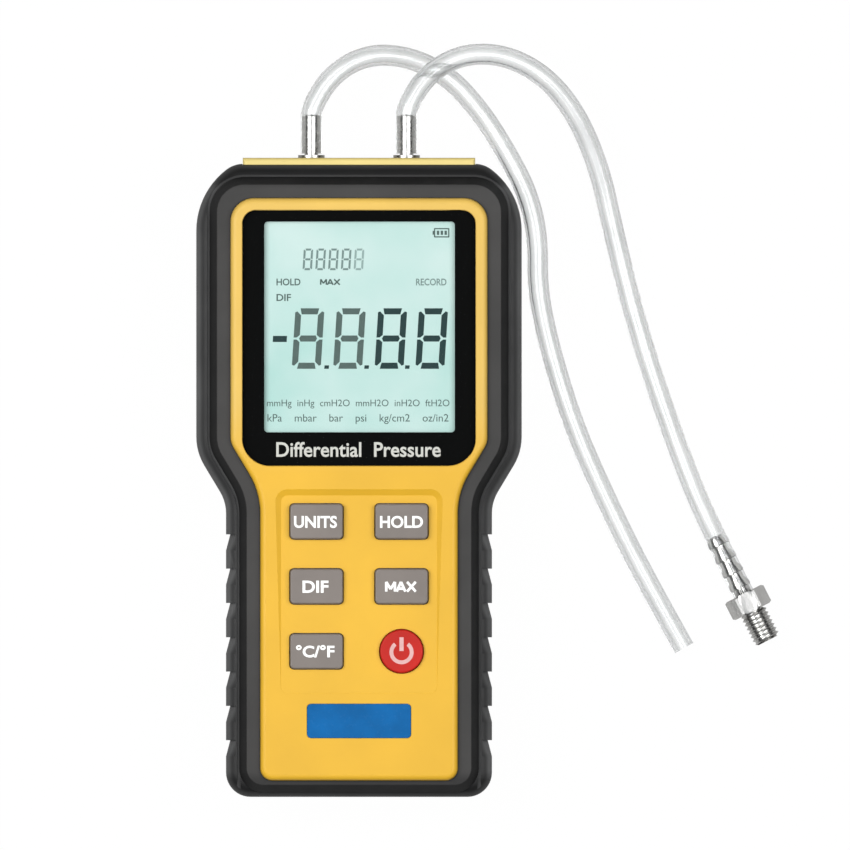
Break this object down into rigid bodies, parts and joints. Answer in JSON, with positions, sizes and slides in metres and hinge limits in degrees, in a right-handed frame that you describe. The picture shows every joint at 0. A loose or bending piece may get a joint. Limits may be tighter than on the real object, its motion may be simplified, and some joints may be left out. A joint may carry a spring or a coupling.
{
  "type": "handheld digital manometer",
  "caption": "Handheld pressure meter in a ribbed rubber boot, with a large display, travel keys, a battery cover, end ports, clear hoses and a barbed fitting.",
  "frame": {"origin": "on the table, under the middle of the instrument from its foot to its port tips, the hoses left out", "axes": "+Z out of the front face, +Y towards the ports' end, +X to the right as seen from the front"},
  "size_m": [0.1666, 0.2152, 0.0398],
  "materials": {
    "boot_rubber": "matt moulded rubber, dark grey",
    "housing_plastic": "fine-textured yellow plastic",
    "clear_lens": "clear window with a black printed border",
    "display_glass": "pale grey-green liquid crystal glass",
    "white_plastic": "white plastic",
    "board_laminate": "green solder-masked laminate",
    "chip_plastic": "black moulded plastic",
    "mat_silicone": "grey silicone",
    "plate_blue": "glossy blue plate, blank",
    "nickel_metal": "nickel-plated brass",
    "battery_jacket": "printed metal jacket, plain",
    "lead_red": "red insulated wire",
    "lead_black": "black insulated wire",
    "screw_steel": "zinc-plated steel",
    "insert_brass": "plain brass",
    "clear_hose": "clear silicone tube",
    "key_grey": "grey key caps",
    "key_red": "red key cap"
  },
  "bodies": {
    "instrument": {"rubber_boot": "boot_rubber", "front_shell": "housing_plastic", "rear_shell": "housing_plastic", "display_lens": "clear_lens", "lcd_panel": "display_glass", "lcd_holder": "white_plastic", "light_diffuser": "white_plastic", "contact_strip": "mat_silicone", "main_board": "board_laminate", "board_chips": "chip_plastic", "keypad_mat": "mat_silicone", "name_plate": "plate_blue", "port_nipple_left": "nickel_metal", "port_nipple_right": "nickel_metal", "port_nuts": "nickel_metal", "pressure_sensor": "chip_plastic", "inner_tube_left": "clear_hose", "inner_tube_right": "clear_hose", "battery": "battery_jacket", "battery_snap": "chip_plastic", "battery_lead_red": "lead_red", "battery_lead_black": "lead_black", "cover_insert": "insert_brass", "case_screws": "screw_steel", "board_screws": "screw_steel", "hose_left": "clear_hose", "hose_right": "clear_hose", "hose_fitting": "nickel_metal"},
    "units_key": {"units_key": "key_grey"},
    "hold_key": {"hold_key": "key_grey"},
    "difference_key": {"difference_key": "key_grey"},
    "maximum_key": {"maximum_key": "key_grey"},
    "temperature_key": {"temperature_key": "key_grey"},
    "power_key": {"power_key": "key_red"},
    "battery_cover": {"battery_cover": "housing_plastic", "cover_screw": "screw_steel"}
  },
  "joints": [
    {"name": "units_key_press", "type": "slide", "parent": "instrument", "child": "units_key", "axis": [0, 0, -1], "range_m": [0, 0.0009], "stiffness_N_per_m": 900, "deforming": ["keypad_mat"]},
    {"name": "hold_key_press", "type": "slide", "parent": "instrument", "child": "hold_key", "axis": [0, 0, -1], "range_m": [0, 0.0009], "stiffness_N_per_m": 900, "deforming": ["keypad_mat"]},
    {"name": "difference_key_press", "type": "slide", "parent": "instrument", "child": "difference_key", "axis": [0, 0, -1], "range_m": [0, 0.0009], "stiffness_N_per_m": 900, "deforming": ["keypad_mat"]},
    {"name": "maximum_key_press", "type": "slide", "parent": "instrument", "child": "maximum_key", "axis": [0, 0, -1], "range_m": [0, 0.0009], "stiffness_N_per_m": 900, "deforming": ["keypad_mat"]},
    {"name": "temperature_key_press", "type": "slide", "parent": "instrument", "child": "temperature_key", "axis": [0, 0, -1], "range_m": [0, 0.0009], "stiffness_N_per_m": 900, "deforming": ["keypad_mat"]},
    {"name": "power_key_press", "type": "slide", "parent": "instrument", "child": "power_key", "axis": [0, 0, -1], "range_m": [0, 0.0009], "stiffness_N_per_m": 900, "deforming": ["keypad_mat"]},
    {"name": "battery_cover_hinge", "type": "hinge", "parent": "instrument", "child": "battery_cover", "pos_m": [0, -0.086, 0.0007], "axis": [-1, 0, 0], "range_deg": [0, 75]}
  ]
}
